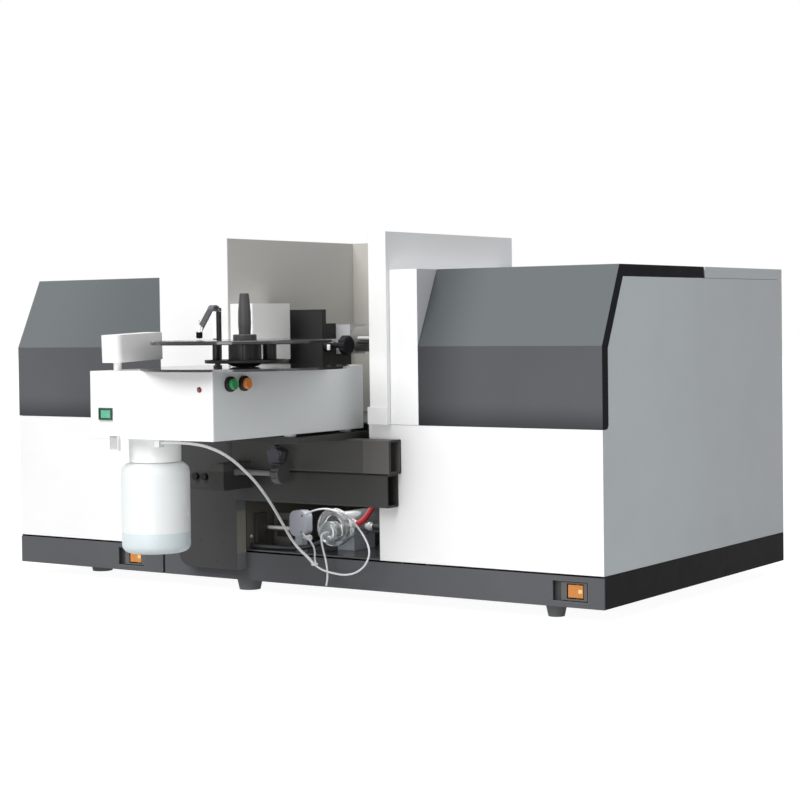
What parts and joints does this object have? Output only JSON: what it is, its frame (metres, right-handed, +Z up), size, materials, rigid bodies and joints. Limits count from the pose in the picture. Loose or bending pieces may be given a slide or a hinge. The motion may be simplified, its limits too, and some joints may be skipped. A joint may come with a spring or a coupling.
{
  "type": "atomic absorption spectrophotometer",
  "caption": "Bench atomic absorption spectrophotometer: two lift-up hoods beside a tall shield with a graphite furnace, and a carousel autosampler on a front bracket.",
  "frame": {"origin": "on the bench under the middle of the whole machine, sampler included", "axes": "+X to the right along the width, +Y to the rear, +Z up"},
  "size_m": [1, 0.868, 0.494],
  "materials": {
    "chassis_black": "matt black paint",
    "plinth_grey": "satin dark grey paint",
    "foot_rubber": "moulded rubber",
    "cover_white": "smooth white powder coat",
    "panel_grey": "fine light grey powder coat",
    "shield_grey": "light grey paint",
    "bay_grey": "grey paint",
    "hood_grey": "satin slate grey paint",
    "steel": "bright steel",
    "black_steel": "blackened steel",
    "aluminium": "machined aluminium",
    "lamp_glass": "lamp glass",
    "unit_grey": "grey enclosure",
    "unit_black": "black crackle finish",
    "white_plastic": "white moulded finish",
    "furnace_black": "matt black heat-resistant paint",
    "contact_grey": "satin grey paint",
    "support_grey": "satin black-grey paint",
    "knob_grey": "dark moulded plastic",
    "black_plastic": "black moulded plastic",
    "amber_lens": "lit amber lens",
    "green_lens": "lit green lens",
    "red_lens": "red indicator lens",
    "green_button": "green button cap",
    "amber_button": "amber button cap",
    "smoked_plastic": "smoked acrylic",
    "bottle_plastic": "translucent white bottle plastic",
    "bay_plastic": "grey moulded plastic",
    "clear_plastic": "clear plastic",
    "hose_rubber": "red and black hose",
    "tube_plastic": "translucent tubing"
  },
  "bodies": {
    "frame": {"base_pan": "chassis_black", "plinth_fascias": "plinth_grey", "feet": "foot_rubber", "left_lower_cover": "cover_white", "right_lower_cover": "cover_white", "left_side_panel": "panel_grey", "right_side_panel": "panel_grey", "rear_top_cover": "panel_grey", "rear_panel": "panel_grey", "rear_inlet": "black_plastic", "left_pillar": "cover_white", "right_pillar": "cover_white", "shield": "shield_grey", "compartment_deck": "shield_grey", "bay_walls": "bay_grey", "bay_floor": "chassis_black", "hinge_pins": "steel", "switch_frames": "black_plastic", "turret_drive": "aluminium", "power_unit": "unit_grey", "monochromator": "unit_black", "detector": "unit_grey", "wall_housing": "white_plastic", "furnace_body": "furnace_black", "furnace_contact": "contact_grey", "support_column": "support_grey", "support_rails": "support_grey", "table_plate": "support_grey", "sampler_case": "white_plastic", "led": "red_lens", "button_bezels": "black_plastic", "drip_disc": "smoked_plastic", "pump_pod": "white_plastic", "bottle": "bottle_plastic", "bottle_holder": "white_plastic", "nebuliser_mount": "bay_plastic", "spray_chamber": "clear_plastic", "tube_fittings": "clear_plastic", "gas_hoses": "hose_rubber", "sample_tube": "tube_plastic", "return_tubes": "tube_plastic", "capillary": "tube_plastic"},
    "left_hood_lid": {"left_hood": "hood_grey"},
    "right_hood_lid": {"right_hood": "hood_grey"},
    "left_power_switch": {"left_rocker": "amber_lens"},
    "right_power_switch": {"right_rocker": "amber_lens"},
    "sampler_power_switch": {"sampler_rocker": "green_lens"},
    "start_key": {"start_button": "green_button"},
    "stop_key": {"stop_button": "amber_button"},
    "carousel": {"carousel_hub": "black_plastic", "carousel_tray": "smoked_plastic", "carousel_handle": "knob_grey"},
    "arm_lift_post": {"arm_post": "black_steel"},
    "sampling_arm": {"arm_strip": "steel", "needle": "steel"},
    "turret": {"lamp_turret": "aluminium", "lamps": "lamp_glass"},
    "table_adjuster": {"adjuster_knob": "knob_grey"},
    "table_clamp": {"clamp_knob": "black_plastic"},
    "contact_knob": {"furnace_knob": "black_plastic"}
  },
  "joints": [
    {"name": "left_hood_lift", "type": "hinge", "parent": "frame", "child": "left_hood_lid", "pos_m": [-0.357, 0.1635, 0.4365], "axis": [-1, 0, 0], "range_deg": [0, 75]},
    {"name": "right_hood_lift", "type": "hinge", "parent": "frame", "child": "right_hood_lid", "pos_m": [0.365, 0.1635, 0.4365], "axis": [-1, 0, 0], "range_deg": [0, 75]},
    {"name": "left_power_rock", "type": "hinge", "parent": "frame", "child": "left_power_switch", "pos_m": [-0.271, -0.111, 0.038], "axis": [0, 0, 1], "range_deg": [-6, 6]},
    {"name": "right_power_rock", "type": "hinge", "parent": "frame", "child": "right_power_switch", "pos_m": [0.458, -0.111, 0.038], "axis": [0, 0, 1], "range_deg": [-6, 6]},
    {"name": "sampler_power_rock", "type": "hinge", "parent": "frame", "child": "sampler_power_switch", "pos_m": [-0.0505, -0.4035, 0.264], "axis": [0, 0, 1], "range_deg": [-6, 6]},
    {"name": "start_press", "type": "slide", "parent": "frame", "child": "start_key", "axis": [-1, 0, 0], "range_m": [0, 0.003], "stiffness_N_per_m": 400},
    {"name": "stop_press", "type": "slide", "parent": "frame", "child": "stop_key", "axis": [-1, 0, 0], "range_m": [0, 0.003], "stiffness_N_per_m": 400},
    {"name": "carousel_spin", "type": "hinge", "parent": "frame", "child": "carousel", "pos_m": [0.088, -0.302, 0.35], "axis": [0, 0, 1], "continuous": true},
    {"name": "arm_lift", "type": "slide", "parent": "frame", "child": "arm_lift_post", "axis": [0, 0, 1], "range_m": [0, 0.03]},
    {"name": "arm_swing", "type": "hinge", "parent": "arm_lift_post", "child": "sampling_arm", "pos_m": [-0.036, -0.207, 0.395], "axis": [0, 0, 1], "range_deg": [-50, 25]},
    {"name": "turret_spin", "type": "hinge", "parent": "frame", "child": "turret", "pos_m": [-0.38, 0.042, 0.2995], "axis": [1, 0, 0], "continuous": true},
    {"name": "adjuster_turn", "type": "hinge", "parent": "frame", "child": "table_adjuster", "pos_m": [0, -0.18, 0.175], "axis": [1, 0, 0], "continuous": true},
    {"name": "clamp_turn", "type": "hinge", "parent": "frame", "child": "table_clamp", "pos_m": [0.024, -0.158, 0.198], "axis": [0, -1, 0], "continuous": true},
    {"name": "contact_knob_turn", "type": "hinge", "parent": "frame", "child": "contact_knob", "pos_m": [0.027, 0.001, 0.343], "axis": [1, 0, 0], "continuous": true}
  ]
}
